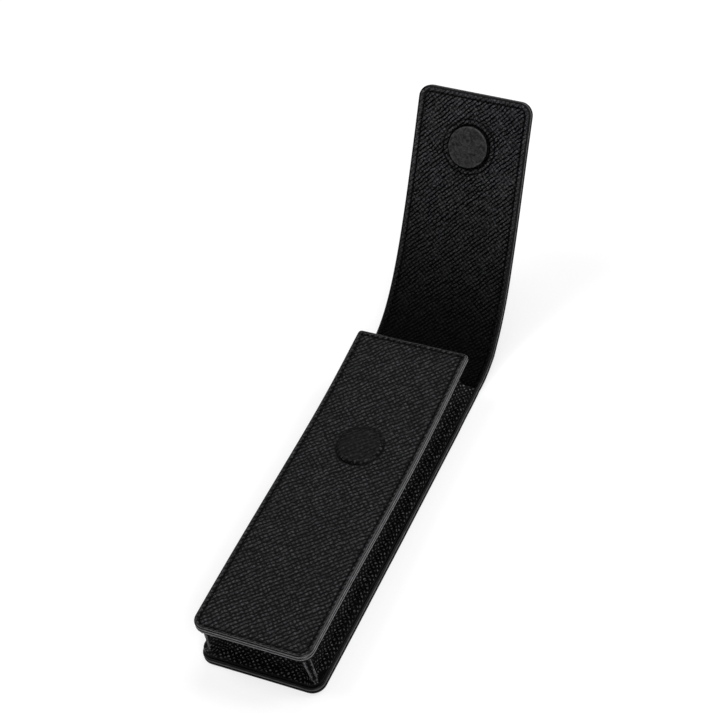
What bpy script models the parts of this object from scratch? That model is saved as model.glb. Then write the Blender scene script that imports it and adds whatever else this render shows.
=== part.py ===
"""Leather pen case for one pen, lying on its back with its flap standing open.

One long strip of leather makes the back and the flap. A front panel stands off the back on a
folded gusset that runs down both sides and across the bottom. A round magnet under the front
leather holds the disc on the flap. X runs across the case, Y along it to the mouth and Z up.
The origin is the middle of the face that the case lies on.
"""
import math

import bmesh
import bpy
from mathutils import Matrix, Vector

MM = 0.001

# Case body
body_length = 124 * MM
front_width = 40 * MM
back_reveal = 0.8 * MM
back_width = front_width + 2 * back_reveal
case_height = 19 * MM
corner_radius = 4.2 * MM
mouth_corner_radius = 1.2 * MM

# Layers of each panel
leather = 0.8 * MM
board = 0.5 * MM
layer_gap = 0.2 * MM
board_inset = 0.9 * MM
board_end_inset = 2 * MM
panel_thickness = 2 * leather + board + 2 * layer_gap

# Gusset, a strip folded out along both edges and drawn in between them
gusset_leather = 1.2 * MM
gusset_gap = 0.3 * MM
flange_width = 4.6 * MM
fold_reach = 1.1 * MM
wall_draw_in = 8.4 * MM
corner_flange_low = 1.5 * MM
corner_flange_high = 0.7 * MM
corner_wall_inset = 2.1 * MM
corner_spread = 16 * MM
least_corner_radius = 1 * MM
gusset_mouth_inset = 1 * MM
corner_fade_power = 1.4
bottom_station_shares = (0, 0.3, 0.55, 0.75, 0.9)
side_station_shares = (0.015, 0.04, 0.08, 0.14, 0.4, 0.7, 1)

# Flap, measured along its outer face from where it leaves the floor
flap_start_inset = 1.6 * MM
flap_length = 101.3 * MM
flap_tip_inset = 0.8 * MM
flap_tip_width = back_width - 2 * flap_tip_inset
flap_angle = math.radians(53)
bend_length = 32 * MM
base_fold_at = 12 * MM
top_fold_at = 27.9 * MM
base_fold_range_deg = (-15, 61.5)
top_fold_range_deg = (-35, 65.8)
fold_running_gap = 0.3 * MM

# Magnetic snap
boss_radius = 7.75 * MM
boss_rise = 0.8 * MM
boss_from_bottom = 78.6 * MM
boss_side_offset = 0.3 * MM
boss_edge = 0.4 * MM
boss_wall = 0.6 * MM
front_magnet_clearance = 0.3 * MM
disc_radius = 7.25 * MM
disc_rise = 1.3 * MM
disc_from_tip = 17.8 * MM
disc_leather = 0.6 * MM
disc_ring_radius = 6 * MM
disc_ring_width = 0.6 * MM
disc_ring_depth = 0.25 * MM
disc_edge = 0.3 * MM
disc_hole_clearance = 0.3 * MM
magnet_edge = 0.2 * MM

# Stitching, one thread a run, which dips at each needle hole
thread_radius = 0.19 * MM
thread_depth = 0.22 * MM
hole_dip = 0.07 * MM
hole_radius_share = 0.6
stitch_pitch = 3 * MM
seam_inset = 2 * MM
back_seam_inset = 2.4 * MM
mouth_seam_inset = 1.3 * MM
groove_radius = 0.58 * MM
groove_lift = 0.07 * MM
seam_lift = 0.15 * MM
seam_corner_skip = 9 * MM
seam_end_gap = 0.8 * MM

# Fineness
bend_step = 3 * MM
profile_step = 0.25 * MM
corner_steps = 5
round_steps = 40
overrun = 2 * MM
merge = 0.001 * MM

# Derived places
origin_y = body_length / 2
bend_start = body_length - flap_start_inset
strip_length = bend_start + flap_length
base_fold = bend_start + base_fold_at
top_fold = bend_start + top_fold_at
hinge_height = panel_thickness / 2
board_low = leather + layer_gap
lining_low = board_low + board + layer_gap
front_low = case_height - panel_thickness
flange_low = panel_thickness + gusset_gap + gusset_leather / 2
flange_high = front_low - gusset_gap - gusset_leather / 2
mid_height = (flange_low + flange_high) / 2
disc_at = flap_length - disc_from_tip
disc_place = bend_start + disc_at
groove_top = panel_thickness + groove_lift


def clear_scene():
    for item in list(bpy.data.objects):
        bpy.data.objects.remove(item, do_unlink=True)
    for group in list(bpy.data.collections):
        bpy.data.collections.remove(group)


def new_collection(name):
    group = bpy.data.collections.new(name)
    bpy.context.scene.collection.children.link(group)
    return group


def finish_material(name, color, roughness, metallic=0.0):
    material = bpy.data.materials.new(name)
    material.use_nodes = True
    shader = material.node_tree.nodes["Principled BSDF"]
    shader.inputs["Base Color"].default_value = (*color, 1)
    shader.inputs["Roughness"].default_value = roughness
    shader.inputs["Metallic"].default_value = metallic
    return material


def bend_profile():
    """The outer face's side view from where it leaves the floor, as (along, y, z, angle) steps."""
    steps = []
    y, z = bend_start, 0.0
    count = math.ceil((flap_length + overrun) / profile_step)
    for i in range(count + 1):
        along = i * profile_step
        steps.append((along, y, z, flap_angle * math.tanh(along / bend_length)))
        middle = flap_angle * math.tanh((along + profile_step / 2) / bend_length)
        y += math.cos(middle) * profile_step
        z += math.sin(middle) * profile_step
    return steps


bend_steps = bend_profile()


def strip_frame(s):
    """Side view of the long strip at s from the bottom edge: y, z and angle of its outer face."""
    along = s - bend_start
    if along <= 0:
        return s, 0.0, 0.0
    i = min(int(along / profile_step), len(bend_steps) - 2)
    start, y0, z0, a0 = bend_steps[i]
    end, y1, z1, a1 = bend_steps[i + 1]
    share = (along - start) / (end - start)
    return y0 + (y1 - y0) * share, z0 + (z1 - z0) * share, a0 + (a1 - a0) * share


def strip_point(x, s, h):
    """World place of a point of the back and flap strip, h above its outer face."""
    y, z, angle = strip_frame(s)
    return Vector((x, y - h * math.sin(angle) - origin_y, z + h * math.cos(angle)))


def front_point(x, s, h):
    """World place of a point of the front panel, h above its lining's lower face."""
    return Vector((x, s - origin_y, front_low + h))


def strip_half_width(s):
    share = max(0.0, s - bend_start) / flap_length
    return (back_width + (flap_tip_width - back_width) * share) / 2


def front_half_width(s):
    return front_width / 2


def corner_arc(radius, inset, half_width, edge, side):
    """Places (x, s) round a corner, from the end at edge to the side; side is -1 at a far end."""
    arc = []
    for i in range(corner_steps + 1):
        turn = math.pi / 2 * i / corner_steps
        s = edge + side * radius * (1 - math.cos(turn))
        arc.append((half_width(s) - inset - radius * (1 - math.sin(turn)), s))
    return arc


def side_outline(start, end, half_width, start_radius, end_radius, inset):
    """Places (x, s) along the right side of a sheet, with its rounded ends as arcs."""
    outline = [(half_width(start) - inset, start)]
    if start_radius > 0:
        outline = corner_arc(start_radius, inset, half_width, start, 1)
    first = outline[-1][1]
    last = end - end_radius
    if first < bend_start < last:
        first = bend_start
        outline.append((half_width(first) - inset, first))
    if last > bend_start:
        count = math.ceil((last - first) / bend_step)
        for i in range(1, count):
            s = first + (last - first) * i / count
            outline.append((half_width(s) - inset, s))
    if end_radius > 0:
        return outline + corner_arc(end_radius, inset, half_width, end, -1)[::-1]
    return outline + [(half_width(end) - inset, end)]


def add_object(name, mesh, group, material):
    item = bpy.data.objects.new(name, mesh)
    if material:
        mesh.materials.append(material)
    group.objects.link(item)
    return item


def grid_object(name, points, group, material):
    """A mesh grid whose vertices are moved to rows of points."""
    mesh = bpy.data.meshes.new(name)
    bm = bmesh.new()
    bmesh.ops.create_grid(bm, x_segments=len(points[0]) - 1, y_segments=len(points) - 1, size=1)
    ordered = sorted(bm.verts, key=lambda v: (round(v.co.y, 6), round(v.co.x, 6)))
    places = [place for row in points for place in row]
    for vertex, place in zip(ordered, places):
        vertex.co = place
    bm.to_mesh(mesh)
    bm.free()
    return add_object(name, mesh, group, material)


def add_solidify(item, thickness, offset):
    solid = item.modifiers.new("Thickness", "SOLIDIFY")
    solid.thickness = thickness
    solid.offset = offset
    solid.use_even_offset = True


def sheet(name, place, outline, low, thickness, group, material):
    """One layer of a panel: a grid that follows its surface, thickened away from it."""
    points = [[place(-x, s, low), place(x, s, low)] for x, s in outline]
    item = grid_object(name, points, group, material)
    add_solidify(item, thickness, 1)
    return item


def fold_gap(low, high, fold_range_deg):
    """How far a layer stays back from a fold so that its end swings clear at both limits."""
    inner = max(0.0, high - hinge_height) * math.tan(math.radians(fold_range_deg[1]) / 2)
    outer = max(0.0, hinge_height - low) * math.tan(math.radians(-fold_range_deg[0]) / 2)
    return max(inner, outer) + fold_running_gap / 2


def tube_cutter(name, points, group):
    """A round cutter that follows a line of points, with closed ends."""
    curve = bpy.data.curves.new(name, "CURVE")
    curve.dimensions = "3D"
    curve.bevel_depth = groove_radius
    curve.bevel_resolution = 1
    curve.use_fill_caps = True
    spline = curve.splines.new("POLY")
    spline.points.add(len(points) - 1)
    for spot, place in zip(spline.points, points):
        spot.co = (*place, 1)
    line = bpy.data.objects.new(name, curve)
    group.objects.link(line)
    bpy.context.view_layer.update()
    mesh = bpy.data.meshes.new_from_object(line.evaluated_get(bpy.context.evaluated_depsgraph_get()))
    bm = bmesh.new()
    bm.from_mesh(mesh)
    bmesh.ops.remove_doubles(bm, verts=bm.verts, dist=merge)
    bmesh.ops.recalc_face_normals(bm, faces=bm.faces)
    bm.to_mesh(mesh)
    bm.free()
    bpy.data.objects.remove(line, do_unlink=True)
    return as_cutter(bpy.data.objects.new(name, mesh), group)


def as_cutter(item, group):
    if item.name not in group.objects:
        group.objects.link(item)
    item.hide_render = True
    item.display_type = "WIRE"
    return item


def boolean(item, other, operation="DIFFERENCE"):
    cut = item.modifiers.new(other.name, "BOOLEAN")
    cut.operation = operation
    cut.object = other
    cut.solver = "EXACT"


def turned(name, profile, place, group, material):
    """A turned solid about its own Z axis, from a profile that runs down its outer side."""
    mesh = bpy.data.meshes.new(name)
    bm = bmesh.new()
    spots = [bm.verts.new((radius, 0, height)) for radius, height in profile]
    for a, b in zip(spots, spots[1:]):
        bm.edges.new((a, b))
    bm.to_mesh(mesh)
    bm.free()
    item = add_object(name, mesh, group, material)
    item.matrix_world = place
    screw = item.modifiers.new("Turn", "SCREW")
    screw.steps = round_steps
    screw.render_steps = round_steps
    screw.use_merge_vertices = True
    screw.merge_threshold = merge
    return item


def disc_profile(radius, low, high, edge):
    """A plain disc, with a small chamfer on both rims where edge isn't 0."""
    if edge == 0:
        return [(0, high), (radius, high), (radius, low), (0, low)]
    return [
        (0, high),
        (radius - edge, high),
        (radius, high - edge),
        (radius, low + edge),
        (radius - edge, low),
        (0, low),
    ]


def plug_cutter(name, radius, low, high, place, group):
    return as_cutter(turned(name, disc_profile(radius, low, high, 0), place, group, None), group)


def rim_place(station, inset, half_width):
    """A point of the right half of the U-shaped rim, moved in from its edge by inset.

    station is a part of the rim and a share along it, from the middle of the bottom to the mouth.
    """
    part, share = station
    radius = max(corner_radius - inset, least_corner_radius)
    centre_x = half_width - inset - radius
    centre_y = inset + radius
    if part == "bottom":
        return centre_x * share, inset
    if part == "corner":
        turn = math.pi / 2 * share
        return centre_x + radius * math.sin(turn), centre_y - radius * math.cos(turn)
    end = body_length - gusset_mouth_inset
    return half_width - inset, centre_y + (end - centre_y) * share


def corner_pull(station):
    """How far the gusset is popped out towards its corner shape, from 0 along the walls to 1."""
    part, share = station
    if part == "corner":
        return 1.0
    run = front_width / 2 - corner_radius
    distance = run * (1 - share)
    if part == "side":
        distance = (body_length - gusset_mouth_inset - corner_radius) * share
    return max(0.0, 1 - distance / corner_spread) ** corner_fade_power


def gusset_section(pull):
    """Insets and heights of the gusset's middle surface, from the back flange to the front one."""
    low = flange_width + (corner_flange_low - flange_width) * pull
    high = flange_width + (corner_flange_high - flange_width) * pull
    middle = wall_draw_in + (corner_wall_inset - wall_draw_in) * pull
    low_turn = min(fold_reach, middle - low)
    high_turn = min(fold_reach, middle - high)
    return [
        (0.0, flange_low),
        (low, flange_low),
        (low + low_turn, flange_low + fold_reach),
        ((low + low_turn + middle) / 2, (flange_low + fold_reach + mid_height) / 2),
        (middle, mid_height),
        ((high + high_turn + middle) / 2, (flange_high - fold_reach + mid_height) / 2),
        (high + high_turn, flange_high - fold_reach),
        (high, flange_high),
        (0.0, flange_high),
    ]


def gusset_half_width(height):
    """Half width of the rim at a height, from the back panel's to the front panel's."""
    share = (height - flange_low) / (flange_high - flange_low)
    return (back_width + (front_width - back_width) * share) / 2


def rim_stations():
    """Stations from the middle of the bottom, round the right corner and up to the mouth."""
    stations = [("bottom", share) for share in bottom_station_shares]
    stations += [("corner", i / corner_steps) for i in range(corner_steps + 1)]
    return stations + [("side", share) for share in side_station_shares]


def build_gusset(group, material):
    points = []
    for station in rim_stations():
        row = []
        for inset, height in gusset_section(corner_pull(station)):
            x, y = rim_place(station, inset, gusset_half_width(height))
            row.append(Vector((x, y - origin_y, height)))
        points.append(row)
    item = grid_object("gusset", points, group, material)
    mirror = item.modifiers.new("Left half", "MIRROR")
    mirror.use_axis = (True, False, False)
    mirror.merge_threshold = merge
    add_solidify(item, gusset_leather, 0)
    return item


def mirrored(outline):
    """A line of (x, s) up one side from the outline's end, round its start and up the other."""
    return [(-x, s) for x, s in reversed(outline)] + outline


def even_places(line, spacing):
    """Places along a line of (x, s) at an even spacing, with both ends kept."""
    lengths = [math.dist(a, b) for a, b in zip(line, line[1:])]
    count = 2 * max(1, round(sum(lengths) / spacing / 2))
    step = sum(lengths) / count
    places = []
    walked = 0.0
    k = 0
    for i in range(count + 1):
        while k < len(lengths) - 1 and walked + lengths[k] < step * i:
            walked += lengths[k]
            k += 1
        share = (step * i - walked) / lengths[k]
        places.append(Vector(line[k]).lerp(Vector(line[k + 1]), share))
    return places


def thread_run(name, place, line, height, up, group, material):
    """One run of thread: a tube that swells on each stitch and dips at each needle hole.

    height is the thread's middle on a stitch, and up is 1 on a face that looks away from the floor.
    """
    spots = even_places(line, stitch_pitch / 2)
    curve = bpy.data.curves.new(name, "CURVE")
    curve.dimensions = "3D"
    curve.bevel_depth = thread_radius
    curve.bevel_resolution = 0
    curve.use_fill_caps = True
    spline = curve.splines.new("POLY")
    spline.points.add(len(spots) - 1)
    for i, (point, (x, s)) in enumerate(zip(spline.points, spots)):
        on_stitch = i % 2 == 1
        dip = 0.0 if on_stitch else hole_dip * up
        point.co = (*place(x, s, height - dip), 1)
        point.radius = 1.0 if on_stitch else hole_radius_share
    curve.materials.append(material)
    group.objects.link(bpy.data.objects.new(name, curve))


def line_points(place, line, height):
    return [place(x, s, height) for x, s in line]


def stretched(line, reach):
    """The same line with both ends run on by reach, for a cutter that leaves the sheet."""
    first, second = Vector(line[0]), Vector(line[1])
    last, before = Vector(line[-1]), Vector(line[-2])
    start = first + (first - second).normalized() * reach
    end = last + (last - before).normalized() * reach
    return [tuple(start)] + list(line) + [tuple(end)]


def strip_layer(name, start, end, low, thickness, radii, inset, group, material):
    outline = side_outline(start, end, strip_half_width, radii[0], radii[1], inset)
    return sheet(name, strip_point, outline, low, thickness, group, material)


def inner_radius(radius, inset):
    return max(radius - inset, least_corner_radius / 2)


def build_back(parts, cutters, skins):
    """Back panel, up to the fold where the flap begins to swing."""
    outer_gap = fold_gap(0, leather, base_fold_range_deg)
    lining_gap = fold_gap(lining_low, panel_thickness, base_fold_range_deg)
    outer = strip_layer("back_outer_leather", 0, base_fold - outer_gap, 0, leather,
                        (corner_radius, 0), 0, parts, skins["leather"])
    board_gap = fold_gap(board_low, board_low + board, base_fold_range_deg)
    strip_layer("back_board", board_inset, base_fold - board_gap, board_low, board,
                (inner_radius(corner_radius, board_inset), 0), board_inset, parts, skins["board"])
    strip_layer("back_lining", 0, base_fold - lining_gap, lining_low, leather,
                (corner_radius, 0), 0, parts, skins["lining"])
    line = line_points(strip_point, stretched(back_seam_line(base_fold), overrun), -groove_lift)
    boolean(outer, tube_cutter("back_seam_groove", line, cutters))


def build_front(parts, cutters, skins):
    """Front panel, with its board cut out round the magnet and its leather domed over it."""
    outer_low = panel_thickness - leather
    outline = side_outline(0, body_length, front_half_width, corner_radius, mouth_corner_radius, 0)
    outer = sheet("front_outer_leather", front_point, outline, outer_low, leather, parts, skins["leather"])
    board_outline = side_outline(board_inset, body_length - board_end_inset, front_half_width,
                                 inner_radius(corner_radius, board_inset), 0, board_inset)
    stiffener = sheet("front_board", front_point, board_outline, board_low, board, parts, skins["board"])
    sheet("front_lining", front_point, outline, 0, leather, parts, skins["lining"])

    centre = Matrix.Translation(front_point(boss_side_offset, boss_from_bottom, 0))
    top = panel_thickness + boss_rise
    dome = turned("boss_dome", [
        (0, top),
        (boss_radius - boss_edge - boss_rise / 2, top),
        (boss_radius - boss_edge, top - boss_edge / 2),
        (boss_radius, top - boss_rise),
        (boss_radius, outer_low + leather / 2),
        (0, outer_low + leather / 2),
    ], centre, cutters, None)
    boolean(outer, as_cutter(dome, cutters), "UNION")
    cavity_radius = boss_radius - boss_wall
    cavity_top = top - leather
    cavity = plug_cutter("boss_cavity", cavity_radius, outer_low - overrun, cavity_top, centre, cutters)
    boolean(outer, cavity)
    board_hole = plug_cutter("board_hole", cavity_radius, board_low - layer_gap / 2,
                             board_low + board + layer_gap / 2, centre, cutters)
    boolean(stiffener, board_hole)
    turned("front_magnet", disc_profile(cavity_radius - front_magnet_clearance, leather + layer_gap,
                                        cavity_top - front_magnet_clearance, magnet_edge),
           centre, parts, skins["magnet"])

    line = line_points(front_point, stretched(front_seam_line(body_length), overrun), groove_top)
    boolean(outer, tube_cutter("front_seam_groove", line, cutters))
    line = line_points(front_point, mouth_seam_line(front_width / 2 + overrun), groove_top)
    boolean(outer, tube_cutter("mouth_seam_groove", line, cutters))


def build_flap(parts, cutters, skins):
    """The flap in its two swinging lengths: a bridge over the mouth and the leaf with the disc."""
    tip = strip_length
    bridge_start = {}
    bridge_end = {}
    leaf_start = {}
    layers = (
        ("outer", 0.0, leather),
        ("board", board_low, board_low + board),
        ("lining", lining_low, panel_thickness),
    )
    for layer, low, high in layers:
        bridge_start[layer] = base_fold + fold_gap(low, high, base_fold_range_deg)
        top_gap = fold_gap(low, high, top_fold_range_deg)
        bridge_end[layer] = top_fold - top_gap
        leaf_start[layer] = top_fold + top_gap
    bridge_outer = strip_layer("bridge_outer_leather", bridge_start["outer"], bridge_end["outer"],
                               0, leather, (0, 0), 0, parts, skins["leather"])
    bridge_lining = strip_layer("bridge_lining", bridge_start["lining"], bridge_end["lining"],
                                lining_low, leather, (0, 0), 0, parts, skins["lining"])
    strip_layer("bridge_interlining", bridge_start["board"], bridge_end["board"], board_low, board,
                (0, 0), board_inset, parts, skins["board"])
    leaf_outer = strip_layer("flap_outer_leather", leaf_start["outer"], tip, 0, leather,
                             (0, corner_radius), 0, parts, skins["leather"])
    strip_layer("flap_board", leaf_start["board"], tip - board_inset, board_low, board,
                (0, inner_radius(corner_radius, board_inset)), board_inset, parts, skins["board"])
    leaf_lining = strip_layer("flap_lining", leaf_start["lining"], tip, lining_low, leather,
                              (0, corner_radius), 0, parts, skins["lining"])

    angle = strip_frame(disc_place)[2]
    centre = Matrix.Translation(strip_point(0, disc_place, 0)) @ Matrix.Rotation(angle, 4, "X")
    hole = plug_cutter("disc_hole", disc_radius + disc_hole_clearance, lining_low - layer_gap / 2,
                       panel_thickness + overrun, centre, cutters)
    boolean(leaf_lining, hole)
    low = board_low + board + gusset_gap
    top = panel_thickness + disc_rise
    ring_out = disc_ring_radius + disc_ring_width / 2
    ring_in = disc_ring_radius - disc_ring_width / 2
    turned("flap_disc_cover", [
        (0, top),
        (ring_in, top),
        (disc_ring_radius, top - disc_ring_depth),
        (ring_out, top),
        (disc_radius - disc_edge, top),
        (disc_radius, top - disc_edge),
        (disc_radius, low),
        (disc_radius - disc_leather, low),
        (disc_radius - disc_leather, top - disc_leather),
        (0, top - disc_leather),
    ], centre, parts, skins["cover"])
    turned("flap_magnet", disc_profile(disc_radius - disc_leather - layer_gap, low,
                                       top - disc_leather - layer_gap, magnet_edge),
           centre, parts, skins["magnet"])

    line = stretched(flap_seam_line(base_fold), overrun)
    outside = tube_cutter("flap_outer_groove", line_points(strip_point, line, -groove_lift), cutters)
    inside = tube_cutter("flap_inner_groove", line_points(strip_point, line, groove_top), cutters)
    boolean(bridge_outer, outside)
    boolean(leaf_outer, outside)
    boolean(bridge_lining, inside)
    boolean(leaf_lining, inside)


def front_seam_line(end):
    outline = side_outline(seam_inset, end, front_half_width, corner_radius - seam_inset, 0, seam_inset)
    return mirrored(outline)


def mouth_seam_line(reach):
    place = body_length - mouth_seam_inset
    return [(-reach, place), (reach, place)]


def back_seam_line(end):
    radius = corner_radius - back_seam_inset
    outline = side_outline(back_seam_inset, end, strip_half_width, radius, 0, back_seam_inset)
    return mirrored(outline)


def flap_seam_line(start):
    radius = corner_radius - seam_inset
    outline = side_outline(start, strip_length - seam_inset, strip_half_width, 0, radius, seam_inset)
    return mirrored(outline[::-1])


def build_case_seams(parts, thread):
    """The front seam, the mouth seam, and the back seam on its outer face and on the gusset's flange."""
    front_height = panel_thickness - thread_depth
    above_mouth = body_length - mouth_seam_inset - seam_end_gap
    thread_run("front_seam", front_point, front_seam_line(above_mouth), front_height, 1, parts, thread)
    reach = front_width / 2 - mouth_corner_radius
    thread_run("mouth_seam", front_point, mouth_seam_line(reach), front_height, 1, parts, thread)

    end = base_fold - fold_gap(0, leather, base_fold_range_deg) - seam_end_gap
    thread_run("back_seam_outer", strip_point, back_seam_line(end), thread_depth, -1, parts, thread)
    on_flange = flange_low + gusset_leather / 2 + seam_lift + thread_radius
    side = back_width / 2 - back_seam_inset
    low, high = seam_corner_skip, body_length - gusset_mouth_inset - seam_end_gap
    reach = back_width / 2 - seam_corner_skip
    runs = (
        ("back_seam_left", [(-side, high), (-side, low)]),
        ("back_seam_bottom", [(-reach, back_seam_inset), (reach, back_seam_inset)]),
        ("back_seam_right", [(side, low), (side, high)]),
    )
    for name, line in runs:
        thread_run(name, strip_point, line, on_flange, 1, parts, thread)


def build_flap_seams(parts, thread):
    """The flap's seam on both faces, in one run round the leaf and one down each side of the bridge."""
    faces = (
        ("outer", 0.0, leather, thread_depth, -1),
        ("inner", lining_low, panel_thickness, panel_thickness - thread_depth, 1),
    )
    for face, low, high, height, up in faces:
        start = base_fold + fold_gap(low, high, base_fold_range_deg) + seam_end_gap
        top_gap = fold_gap(low, high, top_fold_range_deg) + seam_end_gap
        right = side_outline(start, top_fold - top_gap, strip_half_width, 0, 0, seam_inset)
        left = [(-x, s) for x, s in right]
        thread_run(f"bridge_seam_{face}_right", strip_point, right, height, up, parts, thread)
        thread_run(f"bridge_seam_{face}_left", strip_point, left, height, up, parts, thread)
        leaf_line = flap_seam_line(top_fold + top_gap)
        thread_run(f"flap_seam_{face}", strip_point, leaf_line, height, up, parts, thread)


def build():
    clear_scene()
    parts = new_collection("leather_pen_case")
    cutters = new_collection("cutters")
    skins = {
        "leather": finish_material("grained_leather", (0.012, 0.012, 0.013), 0.55),
        "lining": finish_material("lining_leather", (0.012, 0.012, 0.013), 0.5),
        "gusset": finish_material("gusset_leather", (0.010, 0.010, 0.011), 0.5),
        "board": finish_material("fibre_board", (0.12, 0.10, 0.08), 0.9),
        "cover": finish_material("smooth_leather", (0.024, 0.024, 0.025), 0.45),
        "magnet": finish_material("plated_magnet", (0.55, 0.55, 0.56), 0.3, 1.0),
        "thread": finish_material("waxed_thread", (0.008, 0.008, 0.009), 0.6),
    }
    build_back(parts, cutters, skins)
    build_front(parts, cutters, skins)
    build_gusset(parts, skins["gusset"])
    build_flap(parts, cutters, skins)
    build_case_seams(parts, skins["thread"])
    build_flap_seams(parts, skins["thread"])


build()
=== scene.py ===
import math

import bpy
import numpy as np
from mathutils import Matrix, Vector, noise


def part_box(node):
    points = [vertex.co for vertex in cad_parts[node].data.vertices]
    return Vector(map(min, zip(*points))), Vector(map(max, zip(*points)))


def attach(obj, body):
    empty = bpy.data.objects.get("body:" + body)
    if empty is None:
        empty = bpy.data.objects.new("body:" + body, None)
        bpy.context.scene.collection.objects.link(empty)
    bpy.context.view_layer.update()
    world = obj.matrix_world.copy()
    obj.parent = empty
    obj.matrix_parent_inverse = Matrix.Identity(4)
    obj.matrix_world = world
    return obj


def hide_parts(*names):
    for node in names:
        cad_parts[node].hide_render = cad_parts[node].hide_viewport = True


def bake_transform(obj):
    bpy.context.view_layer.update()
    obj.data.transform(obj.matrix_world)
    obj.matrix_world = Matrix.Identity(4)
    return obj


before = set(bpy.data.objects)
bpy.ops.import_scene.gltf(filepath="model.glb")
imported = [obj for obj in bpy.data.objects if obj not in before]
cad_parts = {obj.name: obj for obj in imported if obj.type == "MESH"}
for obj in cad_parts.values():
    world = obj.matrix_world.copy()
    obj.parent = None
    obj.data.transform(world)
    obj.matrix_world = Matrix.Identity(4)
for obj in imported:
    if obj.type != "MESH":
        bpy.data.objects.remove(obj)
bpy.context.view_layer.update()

# A black cross-grain leather pen case. Places on the leather are (x, s, h): x across, s along the
# strip or the front panel from the case's bottom edge, and h above the panel's own lower face.
MM = 0.001

# Case, from model.glb
back_low, back_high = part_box("back_outer_leather")
front_low, front_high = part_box("front_lining")
magnet_low, magnet_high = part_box("front_magnet")
bottom_y = back_low.y
back_half_width = back_high.x
front_half_width = front_high.x
front_length = front_high.y - front_low.y
front_floor = front_low.z
boss_shift = 1.4 * MM
boss_x = (magnet_low.x + magnet_high.x) / 2
boss_s = (magnet_low.y + magnet_high.y) / 2 - bottom_y + boss_shift

# Panels
panel_thickness = 2.5 * MM
skin_thickness = 0.9 * MM
board_low = 0.98 * MM
board_high = 1.52 * MM
board_inset = 1.2 * MM
corner_radius = 4.2 * MM
mouth_corner_radius = 1.2 * MM
back_start = -0.4 * MM
front_sag = 1.95 * MM
front_sag_power = 1.73
front_sag_round = 1.2
mouth_narrowing = 0.4 * MM
narrowing_start, narrowing_end = 60 * MM, 117 * MM
front_crown = 0.25 * MM

# Flap, measured along its outer face from where it leaves the floor
bend_start = front_length - 1.6 * MM
flap_length = 101.3 * MM
flap_tip_half_width = back_half_width - 0.75 * MM
flap_angle = math.radians(53)
bend_length = 32 * MM
bend_flare = 0.62 * MM
flap_waist = 0.25 * MM
bend_flare_at = bend_start + 5 * MM
bend_flare_length = 12 * MM
tip_skew = 0.75 * MM
tip_skew_middle = 0.6
right_cut_places = np.array([0, 25, 60, 105, 117, 124, 131, 138, 148, 157, 170, 190, 205]) * MM
right_cut = np.array([0, 0.2, 0.35, 0.3, -0.1, -0.5, -0.1, 0.4, 0.48, 0.45, 0.25, 0.12, 0]) * MM
base_fold = bend_start + 12 * MM
top_fold = bend_start + 27.9 * MM
fold_reach = 6.5 * MM
strip_cut = bend_start + 20 * MM
tip = bend_start + flap_length
profile_over = 2 * MM
profile_pace = 0.25 * MM

# Wrinkles across the lining in the bend
wrinkle_places = (119.5, 122.2, 124.6, 127.4, 130.8, 135.0)
wrinkle_depth = 0.3 * MM
wrinkle_width = 0.5 * MM
wrinkle_wander = 1.6 * MM
wrinkle_waves_per_metre = 90
wrinkle_middle = 0.15
wrinkle_edge = 1.3
wrinkle_uneven = 0.9
wrinkle_most = 1.3

# Painted edge: one bead of paint along each leather's cut edge
paint_wrap = 0.55 * MM
paint_step = 0.035 * MM
paint_clearance = 0.01 * MM
paint_inset = 0.3 * MM
edge_round = 0.42 * MM
edge_swell = 0.12 * MM
bead_valley_share = 0.25

# Magnetic snap
boss_radius = 7.75 * MM
boss_rise = 0.85 * MM
boss_round = 1.0 * MM
boss_softest = 1.9
boss_shoulder = 1.5
boss_crease_least = 0.25
boss_crease_depth = 0.28 * MM
boss_crease_width = 0.3 * MM
boss_ring_radius = 9.0 * MM
boss_ring_depth = 0.07 * MM
boss_rings_in = (3 * MM, 6 * MM)
boss_rings_out = (9 * MM, 13 * MM)
magnet_profile = [(5.4 * MM, 0.75 * MM), (5.6 * MM, 0.55 * MM), (5.6 * MM, 0.15 * MM), (5.4 * MM, 0.0)]
magnet_lift = 0.05 * MM
disc_radius = 7.0 * MM
disc_rise = 1.3 * MM
disc_round = 0.6 * MM
disc_dish = 0.06 * MM
disc_undercut = 0.1 * MM
disc_sunk = 0.45 * MM
disc_s = tip - 17.8 * MM
disc_hole_radius = 7.6 * MM
disc_skirt = 0.6 * MM
disc_skirt_in, disc_skirt_out = 0.5 * MM, 0.4 * MM
disc_press_radius = 9.2 * MM
disc_press_depth = 0.1 * MM
disc_press_width = 0.45 * MM

# Seams
stitch_pitch = 3.0 * MM
stitch_length = 2.3 * MM
thread_radius = 0.2 * MM
stitch_dip = 0.26 * MM
stitch_slant = 0.1
stitch_reach = 0.3 * MM
front_seam_inset = 1.6 * MM
mouth_seam_inset = 1.5 * MM
strip_seam_inset = 2.0 * MM
back_seam_inset = 2.4 * MM
front_seam_gap = 0.6 * MM
mouth_seam_gap = 0.4 * MM
flange_seam_start = 9 * MM
bridge_seam_start = bend_start + 4 * MM
thread_on_leather = thread_radius * 0.4
thread_on_gusset = thread_radius * 0.3
groove_depth = 0.38 * MM
groove_width = 0.28 * MM
pull_depth = 0.1 * MM
pull_width = 1 * MM
border_swell = 0.14 * MM
border_middle = 0.8 * MM
border_width = 0.45 * MM
border_fall = 0.12 * MM
border_fall_width = 1.2 * MM

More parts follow.
